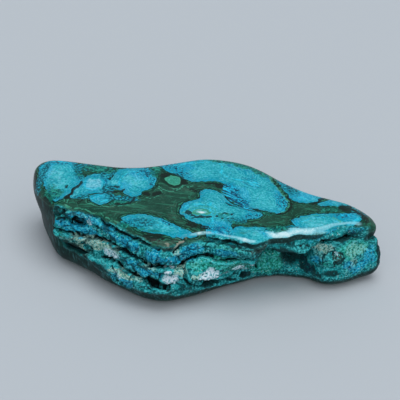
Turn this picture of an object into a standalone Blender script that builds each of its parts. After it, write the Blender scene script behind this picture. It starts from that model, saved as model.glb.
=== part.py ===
"""Chrysocolla specimen: one free-form slab of chrysocolla and malachite, a single stone.

The top is ground flat and polished. The left end, the back and the lower rim are polished round.
The front keeps its natural crust: rolled ledges with crevices between them, open holes, a cave
under the right end of the slab, and a knob that bulges out below that end.

The stone is a loft. OUTLINE is the edge of the polished top, and the wall under each point of it
has a profile from that edge down to the foot. The crust's forms stand out of that wall or are
sunk into it, and each is placed by where it is along the wall and how high it is.

Named sizes are in millimetres. +X runs along the slab, +Y to its back and +Z up. The origin is
the middle of the stone's box, on the surface that it rests on.
"""

from collections import namedtuple

import bmesh
import bpy
import numpy as np
from mathutils import Vector, noise

MM = 0.001

# Driving dimensions, in millimetres
THICKNESS = 54.0  # resting surface to polished top
GIRTH_HEIGHT = 15.0  # where the wall stands out furthest, above its rounded foot
FLARE_START = 7.0  # depth below the top edge at which the wall starts to flare
LIP_HEIGHT = 44.5  # height of the slab's lip, where an undercut starts
UNDERCUT_HEIGHT = 37.5  # height at which it has its full depth
SHIFT = (1.2, -4.4)  # moves the outline so that the stone's box is centred on the origin

# Mesh steps
FRONT_STEP = 2.7  # spacing of wall columns along the crust
BACK_STEP = 7.0  # spacing along the polished back
LEVELS = 25  # rows of the wall, top edge to foot
FINE_STEP = 0.5  # spacing used to measure a profile before its rows are shared out
ROW_SMOOTHING = 4  # passes that keep the rows level from one column to the next
SPLINE_STEPS = 16  # points of the smooth outline between two stations
HEADING_SMOOTHING = 500  # passes that keep neighbouring columns from meeting below a corner

# The edge of the polished top, anticlockwise from the left tip: place, how far the girth stands
# outside it, how far the foot is tucked under the girth, the edge's radius, how far the edge sags
# there, and how far the wall is set back under the slab's lip.
Station = namedtuple("Station", "x y flare tuck radius sag undercut", defaults=[0])
OUTLINE = [
    Station(-130.5, 46, -4, 7, 6, 0),
    Station(-128, 30, -5, 8, 6, 0),
    Station(-121, 15, -3.5, 9, 5, 0),
    Station(-110, 1, 1.5, 10, 3, 0),
    Station(-98, -5, 5, 12, 2, 0),
    Station(-86, -8, 10, 13, 2, 0),
    Station(-77, -14, 11, 13, 2, 0),
    Station(-66, -25, 10.5, 13, 2, 0),
    Station(-55, -34, 9.5, 13, 2, 0),
    Station(-44, -42, 9.5, 13, 2, 0.5),
    Station(-34, -48, 7.5, 12, 2.5, 1.5),
    Station(-24, -50, 5.5, 12, 2.5, 2.5),
    Station(-15, -43, 9.5, 13, 2, 1),
    Station(0, -38, 9, 14, 2, 0),
    Station(14, -42, -3, 14, 2, 0),
    Station(26, -45, -13, 11, 2.5, 0),
    Station(35, -49, -16, 9, 3, 0, 4),
    Station(44, -43, -3, 8, 4, 0, 14),
    Station(60, -42, 0, 7, 5, 0, 19),
    Station(77, -40, 0, 7, 5, 0, 15),
    Station(91, -32, 0, 7, 3, 0, 9),
    Station(104, -25, 0, 7, 2, 0, 8.5),
    Station(115, -21, 0, 8, 3, 0, 9),
    Station(125.5, -18.5, 0, 8, 3.5, 0, 8.5),
    Station(124, -8, 0, 7, 4, 0, 8),
    Station(111, 1.5, -1, 8, 6, 0, 2),
    Station(94, 8, 2, 11, 5, 0),
    Station(77, 17, 3, 12, 5, 0),
    Station(60, 31, 3, 12, 5, 0),
    Station(46, 46, 2, 12, 5, 0),
    Station(33, 56, 2, 12, 5, 0),
    Station(17, 62, 3, 12, 5, 0),
    Station(-1, 64, 4, 12, 5, 0),
    Station(-20, 59, 5, 12, 5, 0),
    Station(-42, 53, 6, 12, 5, 0),
    Station(-62, 52, 5, 12, 5, 0),
    Station(-84, 56.5, 3, 12, 5, 0),
    Station(-108, 62, 0, 10, 5, 0),
    Station(-122, 63.5, -2, 9, 5, 0),
    Station(-130.5, 58.5, -4, 7, 6, 0),
]
RIGHT_TIP = 23  # the station at the end of the front

# The polished top closes towards this line, its mid rib
RIB = ((-108, 38), (98, -6))
TOP_RINGS = (0.06, 0.18, 0.42, 0.70)  # shares of the way from the edge to the rib
SAG_REACH = 0.30  # share of that way over which a sag dies out

# The top curves down towards both tips: where it starts to, and how much for each square of the
# distance beyond
Fall = namedtuple("Fall", "start rate")
LEFT_FALL = Fall(-108, 0.0062)
RIGHT_FALL = Fall(97, 0.0100)

# Rolled ledges of crust: the line of the crest as (x, height), half its width, and how far it
# stands out. x is that of the top edge straight above, on the front.
Ledge = namedtuple("Ledge", "crest half_width proud")
LEDGES = [
    Ledge([(-107, 43), (-97, 48), (-88, 49), (-80, 49), (-72, 47), (-64, 45)], 3.5, 3.0),
    Ledge([(-108, 38), (-100, 38), (-92, 37.5), (-84, 39), (-76, 42), (-64, 44)], 3.5, 3.2),
    Ledge([(-66, 44), (-56, 43), (-46, 43), (-36, 44), (-28, 42), (-22, 41)], 6.5, 3.6),
    Ledge([(-20, 43), (-12, 44), (-4, 44), (6, 44), (18, 43), (28, 43), (38, 43)], 6.0, 4.0),
    Ledge([(-108, 31), (-96, 31.5), (-86, 32), (-76, 33), (-66, 34), (-58, 34.5)], 5.0, 4.0),
    Ledge([(-58, 34.5), (-50, 34), (-42, 34), (-34, 33), (-26, 32), (-19, 33)], 5.5, 4.0),
    Ledge([(-75, 23), (-66, 23), (-58, 23), (-50, 22), (-44, 20), (-36, 17.5), (-26, 17)], 5.0, 3.2),
    Ledge([(-32, 27.5), (-24, 27), (-18, 25)], 4.5, 3.6),
    Ledge([(-8, 32), (0, 33), (10, 33), (20, 32.5), (30, 31), (36, 30)], 6.5, 5.5),
    Ledge([(-8, 25), (0, 25.5), (12, 25.5), (22, 25.5), (32, 25)], 5.5, 6.5),
    Ledge([(-22, 20), (-14, 20), (-5, 19)], 4.0, 2.4),
    Ledge([(44, 47), (56, 47), (68, 45), (80, 45), (92, 47), (104, 47), (114, 46)], 6.5, 2.6),
]

# Crevices between the ledges: the line, half the width and the depth
Crevice = namedtuple("Crevice", "line half_width depth")
CREVICES = [
    Crevice([(-112, 46), (-104, 50), (-94, 51.5), (-84, 51.5), (-76, 50.5), (-66, 50)], 1.6, 2.6),
    Crevice([(-66, 50), (-57, 50.5), (-48, 50), (-40, 49), (-30, 48), (-24, 46.5)], 1.6, 3.0),
    Crevice([(-18, 48), (-10, 49.5), (-2, 50), (10, 49.5), (22, 49)], 1.6, 2.8),
    Crevice(
        [(-110, 34.5), (-100, 34.5), (-92, 34.5), (-86, 35), (-80, 36), (-70, 38.5), (-62, 38)],
        1.6, 4.0,
    ),
    Crevice(
        [(-62, 38), (-54, 38), (-46, 39.5), (-38, 38.5), (-30, 37), (-20, 38), (-12, 39)],
        1.6, 4.5,
    ),
    Crevice([(-12, 39), (-4, 41), (4, 40), (14, 38), (24, 37.5), (34, 38), (44, 39)], 1.6, 4.5),
    Crevice([(-104, 27), (-96, 26), (-88, 26.5), (-80, 27.5), (-72, 29), (-64, 28.5)], 2.2, 4.0),
    Crevice([(-64, 28.5), (-56, 28.5), (-48, 28.5), (-42, 27), (-36, 28.5), (-28, 29)], 1.6, 4.0),
    Crevice([(-12, 20.5), (0, 20.5), (12, 20.5), (24, 20)], 2.0, 3.5),
    Crevice([(38, 38), (40, 32), (39, 26)], 1.6, 3.0),
    Crevice([(80, 39.5), (90, 41.5), (100, 42), (110, 41.5)], 1.8, 3.5),
]

# Holes and hollows sunk into the wall: centre, half its length and height, slope of its long
# side, and depth
Hollow = namedtuple("Hollow", "x height half_length half_height slope depth")
HOLLOWS = [
    Hollow(-90.5, 43, 6.0, 3.2, 0.0, 9.0),
    Hollow(-102, 40, 3.5, 1.8, 0.0, 4.0),
    Hollow(-76, 45, 4.5, 1.8, -0.15, 3.0),
    Hollow(-34, 23.5, 5.5, 2.6, -0.3, 8.0),
    Hollow(-26, 21, 4.0, 2.0, -0.1, 7.0),
    Hollow(30, 25, 3.4, 2.2, 0.0, 6.0),
    Hollow(-90, 22, 15.0, 3.6, 0.05, 3.0),
    Hollow(73, 26, 13.0, 15.0, -0.1, 18.0),
    Hollow(50, 33, 12.0, 6.0, 0.1, 6.0),
    Hollow(94, 30, 6.0, 5.5, 0.0, 3.5),
    Hollow(82, 17, 4.0, 3.0, 0.0, 2.5),
]

HOLLOW_STEEPNESS = 1.6  # 1 for a bowl, more for steep sides and a flat bottom

# Rounded bulges: centre, half its length and height, and how far it stands out
Bulge = namedtuple("Bulge", "x height half_length half_height proud")
KNOB_LENGTH = 63.0  # along the wall, round the right tip
KNOB = Bulge(107, 14, KNOB_LENGTH / 2, 27, 16)
KNOB_SQUARENESS = 2.7  # of its upper half: 2 for an oval, more for a squarer one
BULGES = [
    Bulge(-34, 43, 7, 6, 2.0),
    Bulge(-4, 43, 6, 5, 2.0),
    Bulge(-40, 31, 8, 4, 1.5),
]

# The back has one unpolished hollow: its ends along the back, its height, and its depth
BACK_HOLLOW = Hollow(-22, 25, 42.0, 8.0, 0.04, 4.0)

# The crust's uneven look, as smooth noise: ledges wander up and down and stand out more or less,
# and all is lumpy
WANDER_SIZE = 15.0
WANDER = 1.6
SWELL_SIZE = 10.0
SWELL = 0.45
LUMP_SIZE = 8.0
LUMP_HEIGHT = 1.2
CRUST_ENDS = (-113.0, 121.0)  # x of the ends of the crust on the front
CRUST_HEIGHTS = (17.0, 51.0)
CRUST_FADE = 6.0

STONE_COLOUR = (0.02, 0.27, 0.33, 1.0)
STONE_ROUGHNESS = 0.25


def smooth_step(low, high, value):
    """0 below low, 1 above high and an even curve between."""
    share = np.clip((value - low) / (high - low), 0, 1)
    return share * share * (3 - 2 * share)


def closed_spline(points, steps):
    """A closed Catmull-Rom curve through rows of numbers, with that many steps from row to row."""
    points = np.asarray(points, float)
    before, after, beyond = np.roll(points, 1, 0), np.roll(points, -1, 0), np.roll(points, -2, 0)
    t = (np.arange(steps) / steps)[None, :, None]
    a, b, c, d = (rows[:, None, :] for rows in (before, points, after, beyond))
    curve = 2 * b + (c - a) * t + (2 * a - 5 * b + 4 * c - d) * t**2
    curve = 0.5 * (curve + (3 * b - a - 3 * c + d) * t**3)
    return curve.reshape(-1, points.shape[1])


def blurred(rows, passes):
    """Evens out a closed loop of rows."""
    for _ in range(passes):
        rows = 0.25 * np.roll(rows, 1, 0) + 0.5 * rows + 0.25 * np.roll(rows, -1, 0)
    return rows


class Edge:
    """The smooth edge of the polished top, with the wall's measures at each of its points."""

    def __init__(self):
        curve = closed_spline(OUTLINE, SPLINE_STEPS)
        self.place = curve[:, :2]
        self.measures = curve[:, 2:]
        step = np.linalg.norm(np.roll(self.place, -1, 0) - self.place, axis=1)
        self.along = np.concatenate([[0], np.cumsum(step)])
        self.length = self.along[-1]
        self.tip = self.along[RIGHT_TIP * SPLINE_STEPS]
        heading = np.roll(self.place, -1, 0) - np.roll(self.place, 1, 0)
        heading = blurred(heading / np.linalg.norm(heading, axis=1, keepdims=True), HEADING_SMOOTHING)
        outward = np.stack([heading[:, 1], -heading[:, 0]], 1)
        self.outward = outward / np.linalg.norm(outward, axis=1, keepdims=True)

    def at(self, rows, along):
        """Reads rows, which go with the edge's points, at distances along the edge."""
        closed = np.concatenate([rows, rows[:1]])
        return np.stack([np.interp(along, self.along, column) for column in closed.T], -1)

    def front(self, x):
        """Distance along the edge of the point on the front with this x."""
        count = RIGHT_TIP * SPLINE_STEPS + 1
        return np.interp(x, np.maximum.accumulate(self.place[:count, 0]), self.along[:count])

    def back(self, x):
        """Distance along the edge of the point on the back with this x."""
        start = RIGHT_TIP * SPLINE_STEPS
        falling_x = np.minimum.accumulate(self.place[start:, 0])[::-1]
        return np.interp(x, falling_x, self.along[start:-1][::-1])


def distance_to_line(along, height, line):
    """Distance, over the unrolled wall, of each place to a line of (along, height) points."""
    nearest = np.full(np.broadcast(along, height).shape, 1e9)
    for (a0, h0), (a1, h1) in zip(line[:-1], line[1:]):
        run, rise = a1 - a0, h1 - h0
        share = np.clip(((along - a0) * run + (height - h0) * rise) / (run * run + rise * rise), 0, 1)
        nearest = np.minimum(nearest, np.hypot(along - a0 - share * run, height - h0 - share * rise))
    return nearest


def dome(reach):
    """The height of a half ball, 1 in the middle, at a distance given as a share of its radius."""
    return np.sqrt(np.clip(1 - reach * reach, 0, 1))


def oval_reach(along, height, centre, form, squareness=2.0):
    """Distance from an oval's centre as a share of its radius: 1 is its rim.

    The upper half of the oval can be squarer.
    """
    run, rise = along - centre, height - form.height
    slope = getattr(form, "slope", 0.0)
    power = np.where(rise > 0, squareness, 2.0)
    across = np.abs(run / form.half_length) ** power
    upward = np.abs((rise - slope * run) / form.half_height) ** power
    return (across + upward) ** (1 / power)


def noise_field(along, height, size, seed):
    """Smooth noise over the unrolled wall, about -0.7 to 0.7."""
    return np.vectorize(lambda a, h: noise.noise(Vector((a / size, h / size, seed))))(along, height)


def crust_length(edge, along):
    """1 along the crust, 0 round the back."""
    left, right = (edge.front(x) for x in CRUST_ENDS)
    return smooth_step(left, left + CRUST_FADE, along) * (1 - smooth_step(right - CRUST_FADE, right, along))


def crust_share(edge, along, height):
    """1 on the natural crust of the front, 0 on polished stone."""
    low, high = CRUST_HEIGHTS
    band = smooth_step(low - CRUST_FADE, low, height) * (1 - smooth_step(high - 2, high + 1, height))
    return crust_length(edge, along) * band


def top_height(x):
    """Height of the polished top."""
    left = np.clip(LEFT_FALL.start - x, 0, None)
    right = np.clip(x - RIGHT_FALL.start, 0, None)
    return THICKNESS - LEFT_FALL.rate * left**2 - RIGHT_FALL.rate * right**2


def plain_wall(measures, height, top):
    """How far the wall stands out from the top edge: edge radius, flare and rounded foot."""
    flare, tuck, radius, _, undercut = (measures[..., column] for column in range(5))
    rounding = np.clip((height - (top - radius)) / radius, 0, 1)
    foot = np.clip((GIRTH_HEIGHT - height) / GIRTH_HEIGHT, 0, 1)
    spread = smooth_step(0, top - FLARE_START - GIRTH_HEIGHT, top - FLARE_START - height)
    set_back = undercut * (1 - smooth_step(UNDERCUT_HEIGHT, LIP_HEIGHT, height))
    return flare * spread - set_back - radius * (1 - dome(rounding)) - tuck * (1 - dome(foot))


def crust_relief(edge, along, height):
    """How far ledges, crevices, hollows and the knob move the wall out or in."""

    def on_front(line):
        return [(edge.front(x), z) for x, z in line]

    relief = np.zeros(np.broadcast(along, height).shape)
    length = crust_length(edge, along)
    wandered = height + length * WANDER * noise_field(along, height, WANDER_SIZE, 1.5)
    swell = 1 + length * SWELL * noise_field(along, height, SWELL_SIZE, 7.5)
    for ledge in LEDGES:
        reach = distance_to_line(along, wandered, on_front(ledge.crest)) / ledge.half_width
        relief = np.maximum(relief, ledge.proud * swell * dome(reach))
    for crevice in CREVICES:
        reach = distance_to_line(along, wandered, on_front(crevice.line)) / crevice.half_width
        relief -= crevice.depth * np.exp(-reach * reach)
    relief *= smooth_step(edge.front(CRUST_ENDS[0]) - 2, edge.front(CRUST_ENDS[0]) + 8, along)
    knob = KNOB.proud * dome(oval_reach(along, height, edge.front(KNOB.x), KNOB, KNOB_SQUARENESS))
    relief = np.where(knob > 0, np.minimum(relief, 0), relief) + knob
    hollows = [(hollow, edge.front(hollow.x)) for hollow in HOLLOWS]
    hollows.append((BACK_HOLLOW, edge.back(BACK_HOLLOW.x)))
    for hollow, centre in hollows:
        inside = 1 - oval_reach(along, height, centre, hollow)
        relief -= hollow.depth * smooth_step(0, 1, HOLLOW_STEEPNESS * inside)
    for bulge in BULGES:
        relief += bulge.proud * dome(oval_reach(along, height, edge.front(bulge.x), bulge))
    return relief


def wall_offset(edge, along, height):
    """How far the finished wall stands out from the top edge."""
    measures = edge.at(edge.measures, along)
    top = top_height(edge.at(edge.place, along)[..., 0]) - measures[..., 3]
    return plain_wall(measures, height, top) + crust_relief(edge, along, height)


def wall_rows(edge, along):
    """Heights of the wall's rows in each column: close together where the profile is steep."""
    top = top_height(edge.at(edge.place, along)[:, 0]) - edge.at(edge.measures, along)[:, 3]
    share = np.linspace(0, 1, int(THICKNESS / FINE_STEP) + 1)
    height = top[:, None] * (1 - share)[None, :]
    offset = wall_offset(edge, along[:, None], height)
    step = np.hypot(np.diff(offset, axis=1), np.diff(height, axis=1))
    step = blurred(np.minimum(step, 3 * FINE_STEP), 2)
    travelled = np.concatenate([np.zeros((len(along), 1)), np.cumsum(step, axis=1)], 1)
    rows = [
        np.interp(np.linspace(0, run[-1], LEVELS), run, column) for run, column in zip(travelled, height)
    ]
    return blurred(np.array(rows), ROW_SMOOTHING)


def wall_columns(edge):
    """Distances along the edge of the wall's columns: close together on the front and the knob."""
    front_end = edge.tip + KNOB_LENGTH / 3
    front = np.linspace(0, front_end, int(front_end / FRONT_STEP), endpoint=False)
    back = np.linspace(front_end, edge.length, int((edge.length - front_end) / BACK_STEP), endpoint=False)
    return np.concatenate([front, back])


def wall_points(edge, along, height):
    """Places of the wall, an array of columns by rows by (x, y, z)."""
    offset = wall_offset(edge, along[:, None], height)
    outward = edge.at(edge.outward, along)[:, None, :]
    flat = edge.at(edge.place, along)[:, None, :] + outward * offset[..., None]
    return np.concatenate([flat, height[..., None]], -1)


def add_lumps(edge, points, along, height):
    """Moves the crust's points a little, so that no ledge is smooth."""
    strength = LUMP_HEIGHT * crust_share(edge, along[:, None], height)
    for column, row in np.argwhere(strength > 0.01):
        place = Vector(points[column, row]) / LUMP_SIZE
        points[column, row] += strength[column, row] * np.array(noise.noise_vector(place))
    return points


def top_rings(rim):
    """Rings of the polished top from its rim inwards. A sag of the rim dies out on the way."""
    (left, left_y), (right, right_y) = RIB
    x = np.clip(rim[:, 0], left, right)
    rib = np.stack([x, left_y + (x - left) * (right_y - left_y) / (right - left)], 1)
    rings = []
    for share in TOP_RINGS:
        flat = rim[:, :2] + (rib - rim[:, :2]) * share
        sag = (top_height(rim[:, 0]) - rim[:, 2]) * (1 - smooth_step(0, SAG_REACH, share))
        rings.append(np.column_stack([flat, top_height(flat[:, 0]) - sag]))
    return rings


def stone_mesh():
    """The whole stone as one closed mesh."""
    edge = Edge()
    along = wall_columns(edge)
    height = wall_rows(edge, along)
    wall = add_lumps(edge, wall_points(edge, along, height), along, height)
    wall[:, -1, 2] = 0.0
    rings = top_rings(wall[:, 0])[::-1] + list(wall.transpose(1, 0, 2))

    mesh = bmesh.new()
    shift = np.array([*SHIFT, 0.0])
    loops = [[mesh.verts.new((point + shift) * MM) for point in ring] for ring in rings]
    for upper, lower in zip(loops[:-1], loops[1:]):
        for i, vert in enumerate(upper):
            mesh.faces.new((vert, upper[i - 1], lower[i - 1], lower[i]))
    mesh.faces.new(loops[0])
    mesh.faces.new(reversed(loops[-1]))
    bmesh.ops.triangulate(mesh, faces=mesh.faces[:])
    bmesh.ops.recalc_face_normals(mesh, faces=mesh.faces[:])
    made = bpy.data.meshes.new("polished_chrysocolla_stone")
    mesh.to_mesh(made)
    mesh.free()
    return made


def stone_material():
    material = bpy.data.materials.new("polished chrysocolla and malachite")
    material.use_nodes = True
    surface = material.node_tree.nodes["Principled BSDF"]
    surface.inputs["Base Color"].default_value = STONE_COLOUR
    surface.inputs["Roughness"].default_value = STONE_ROUGHNESS
    surface.inputs["Metallic"].default_value = 0.0
    return material


def clear_scene():
    for thing in list(bpy.data.objects):
        bpy.data.objects.remove(thing)


def main():
    clear_scene()
    stone = bpy.data.objects.new("polished_chrysocolla_stone", stone_mesh())
    bpy.context.scene.collection.objects.link(stone)
    stone.data.materials.append(stone_material())
    stone.data.shade_smooth()
    stone.data.set_sharp_from_angle(angle=np.radians(50))


main()
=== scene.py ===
"""Looks of the chrysocolla specimen: one slab of chrysocolla and malachite.

The stone is a fine copy of the solid. Its polished faces are smoothed, its crust gets lumps,
pits and crevices, and every point of it is marked with what mineral it is: how deep it lies in
a pool of chrysocolla, and how light, blue, green, cream, white or dark it is. Light and shade
are painted in too: shade in the crust's hollows, pits and downward faces, light on its ridges
and upward faces, and a highlight and a shadow line along the near edge. The material turns
those marks into colour, gloss and grain.

Places are in millimetres, in the frame of the solid: +X along the slab, +Y to its back, +Z up.
"""

from collections import namedtuple

import bpy
import numpy as np
from mathutils import Euler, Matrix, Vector, noise


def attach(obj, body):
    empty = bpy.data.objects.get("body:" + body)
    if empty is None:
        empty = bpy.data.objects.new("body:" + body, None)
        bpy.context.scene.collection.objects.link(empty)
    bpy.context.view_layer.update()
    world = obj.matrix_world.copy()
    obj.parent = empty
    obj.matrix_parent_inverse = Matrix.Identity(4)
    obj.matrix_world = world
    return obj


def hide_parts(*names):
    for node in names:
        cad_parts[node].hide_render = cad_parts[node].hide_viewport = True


MM = 0.001
SOLID = "polished_chrysocolla_stone"

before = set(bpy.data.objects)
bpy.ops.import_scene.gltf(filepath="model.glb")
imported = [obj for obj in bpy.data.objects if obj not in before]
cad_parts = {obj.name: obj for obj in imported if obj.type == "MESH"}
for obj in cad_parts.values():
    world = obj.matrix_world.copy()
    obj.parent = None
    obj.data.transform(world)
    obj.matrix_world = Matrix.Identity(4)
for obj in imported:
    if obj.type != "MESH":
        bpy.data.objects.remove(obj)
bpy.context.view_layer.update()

# Camera: it looks at this point, from this far and this high above the horizon
VIEW_CENTRE = (-1.8, 19.6, 40.0)
VIEW_DISTANCE = 900.0
VIEW_ELEVATION = 34.0
LENS = 108.0
SENSOR = 36.0

# Light: a softbox overhead, and a wider, weaker one in front, in a pale room
Softbox = namedtuple("Softbox", "name side spread power")
SOFTBOXES = [  # the way towards it, the degrees that it fills seen from the stone, and its power
    Softbox("overhead_softbox", (0.12, 0.05, 1.0), 46.0, 1.35),
    Softbox("front_softbox", (0.30, -1.0, 1.0), 90.0, 1.2),
]
ROOM = "#c9d2da"
ROOM_POWER = 0.6
FLOOR = "#b4bac0"
FLOOR_SIDE = 12.0  # in metres
FLOOR_ROUGHNESS = 0.7

# Mesh
MERGE = 0.01  # corners of the solid's triangles that are this near are one
VOXEL = 1.55  # mesh spacing of the sides and underside; the top and the crust have half of it
SMOOTHING = 0.5  # how much of the way to its neighbours' middle a pass moves a vertex
POLISH_PASSES = 30  # smoothing that takes the solid's facets out of the polished faces
CRUST_PASSES = 5
GROUP_LEVELS = 10  # steps between 0 and 1 in a vertex group
SLOPE_PASSES = 4  # blurring of the normals for the slope, before the smoothing and after it
FINAL_SLOPE_PASSES = 2
RELIEF_PASSES = 6  # for the way that the crust's relief moves
HOLLOW_PASSES = 3
FINE_CRUST = 0.03  # the mesh is finer from this share of crust, and from this slope and height
FINE_SLOPE = 0.5
FINE_FROM = 30
NOISE_STEP = (17.3, 5.1, 9.7)  # how far apart the noises of two seeds lie

# The solid's shape, which the marks are placed by
THICKNESS = 54.0
LEFT_FALL = (-107, 0.0062)  # where the top starts to curve down, and how much for x squared
RIGHT_FALL = (98, 0.0100)
MIDLINE = [(-131, 46), (-118, 32), (-104, 22), (-60, 10), (0, 5), (60, 0), (100, -3), (131, -13)]
RIM = [(-131, 62), (-112, 60), (-108, 26), (-102, 20), (-90, 18), (-76, 17), (-66, 13), (-56, 9),
       (-48, 13), (-40, 15), (-26, 14), (-18, 10), (2, 11), (14, 8), (36, 6), (72, 5), (84, 8),
       (104, 8), (118, 10), (131, 14)]  # height of the polished lower rim under the crust
CRUST_START = [(-112, 4.0), (-100, 2.4), (-48, 2.4), (-36, 4.0)]  # (x, depth below the top)

# Limits between the kinds of surface. A pair is a rise, 0 up to its first value and 1 from its
# second. A slope is the upward part of the normal: 1 where level, 0 where upright.
CRUST_SIDE = (-2, 2)  # in front of the midline
CRUST_SLOPE = (0.62, 0.42)
CRUST_FULL = 1.5  # the crust is full at this many times the depth that it starts at
RIM_FADE = 1.5
RAGGED_SIZE = 8.0  # size of the noise that makes the crust's limits ragged, and how much it does
RAGGED_X = 2.5
RAGGED_Z = 1.5
END_LEAN = 0.2  # how far its ends lean for each mm above this height
END_LEAN_FROM = 30
NOSE_X = (114, 118)  # the slab's rounded right end is polished all round
NOSE_Z = (34, 37)
FRONT_SIDE = (-6, 6)  # in front of the midline
LEFT_END = (-112, -122)
UNDER_TOP = (3, 9)  # depth below the top at which its pools give way to made-up ones
UPRIGHT = (-0.8, -0.4)  # slope of the sides, against the underside's

# The slab's near edge is finer than the solid's. Over the gap and the knob its underside reaches
# further down, by a share as (x, share), and over the gap it is set back, as (x, distance).
FACING_DOWN = (-0.1, -0.5)  # slope of the underside
LIP_HEIGHT = (36, 39)
LIP_DROP = 4.5
LIP_REACH = [(44, 0.0), (54, 1.0), (70, 1.0), (84, 0.0), (110, 0.0), (121, 1.0)]
EDGE_BEFORE = (8, 38)  # in front of the midline
EDGE_HEIGHT = (37, 44)
SET_BACK = [(36, 0.0), (46, 3.0), (56, 6.5), (66, 7.5), (78, 7.0), (92, 5.0), (106, 2.0),
            (114, 0.0)]

# Pools of chrysocolla in the polished top: outlines as (x, y), each point on a smooth curve
LEFT_POOL = [(-124, 50), (-125, 42), (-122, 31), (-117, 19), (-113, 7), (-108, 0), (-102, 1),
             (-97.5, 10), (-94, 19), (-91, 28), (-92, 38), (-95, 47), (-103, 54), (-116, 55)]
RINGED_POOL = [(-97.5, 3), (-95, 12), (-92.5, 21), (-90, 29), (-84, 33), (-77, 33), (-71, 28),
               (-69.5, 19), (-72, 10), (-79, 7.5), (-86, 5), (-92, 1)]
THIRD_POOL = [(-70, 22), (-67, 32), (-63, 41), (-54, 43), (-45, 43), (-38, 38), (-34.5, 27),
              (-36, 17), (-42, 11), (-47, 4.5), (-53, 4), (-58, 11), (-66, 13)]
STRIP_POOL = [(-82, 3), (-78, 6.5), (-71, 7), (-66, 3), (-68, -3), (-74, -6.5), (-80, -3)]
FAR_POOL = [(-31, 46), (-27, 38), (-19, 32), (-10, 25), (-2, 23.5), (7, 24.5), (13, 22.5),
            (17, 18), (18.5, 11), (20, 4), (24, -3), (31, -9.5), (40, -12.5), (50, -17),
            (57, -17), (61, -9), (61, 0), (57, 9), (53, 21), (49, 32), (46, 44), (36, 58),
            (14, 68), (-10, 66), (-28, 58)]
EYE_POOL = [(-3, 0), (-2, 8), (3, 12), (10, 11.5), (14.5, 7), (17, 0), (22, -5.5), (30, -11.5),
            (38, -15), (42.5, -20), (39, -25.5), (29, -27), (22, -31), (19.5, -37), (19, -48),
            (4, -48), (2, -37), (-1, -32), (-7, -28.5), (-12, -24), (-16, -15), (-15, -7),
            (-10, -2)]
RIGHT_LENS = [(64, -28), (67, -23), (74, -20), (85, -18.5), (98, -18.5), (108, -16.5),
              (115, -16), (112, -24), (102, -31), (92, -37), (78, -38), (68, -35)]
SHORE_POOL = [(53, 34), (57.5, 22), (61, 10), (64, 1), (70, -4.5), (79, -5), (86, -1), (91, 6),
              (90, 14), (76, 26), (60, 40)]
SMALL_LENS = [(84, -7), (90, -3), (99, -1), (108, -3.5), (103, -8), (95, -10)]
NEAR_LENS = [(-58, -24), (-48, -20), (-38, -21), (-30, -24), (-22, -30), (-14, -36),
             (-4, -41), (-13, -45), (-26, -44), (-37, -41.5), (-46, -37), (-53, -30)]
NEAR_SHORE = [(19, -39), (27, -35), (40, -34.5), (51, -36), (57, -34.5), (65, -33.5),
              (70, -38), (84, -40), (95, -37), (100, -46), (70, -52), (30, -56), (12, -50)]
POOLS = [LEFT_POOL, RINGED_POOL, THIRD_POOL, STRIP_POOL, FAR_POOL, EYE_POOL, RIGHT_LENS,
         SHORE_POOL, SMALL_LENS, NEAR_LENS, NEAR_SHORE]
GREEN_EYE = [(-27.5, 25), (-25, 30), (-20, 31.5), (-16, 28), (-15, 23), (-18, 19), (-23, 19)]
GREEN_LENS = [(-9, -17.5), (-5, -13), (1, -12.5), (6.5, -16), (5, -19), (-1, -21), (-6, -20)]

FAR_OUT = -30  # the depth that stands for well outside a shape
HIDDEN_POOLS = ((14, 34.0, 7), (5, 13.0, 8))  # noises of the made-up ones: reach, size, seed
HIDDEN_LEVEL = -2
DARK_SIDE = 12  # how much shallower they are round the front and the left end

# The places of all marks wander by noises: size, reach in x and y, reach in z, and two seeds
WANDER = ((9.0, 2.0, 1.2, (3, 4)), (3.2, 1.1, 1.0, (5, 6)))

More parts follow.
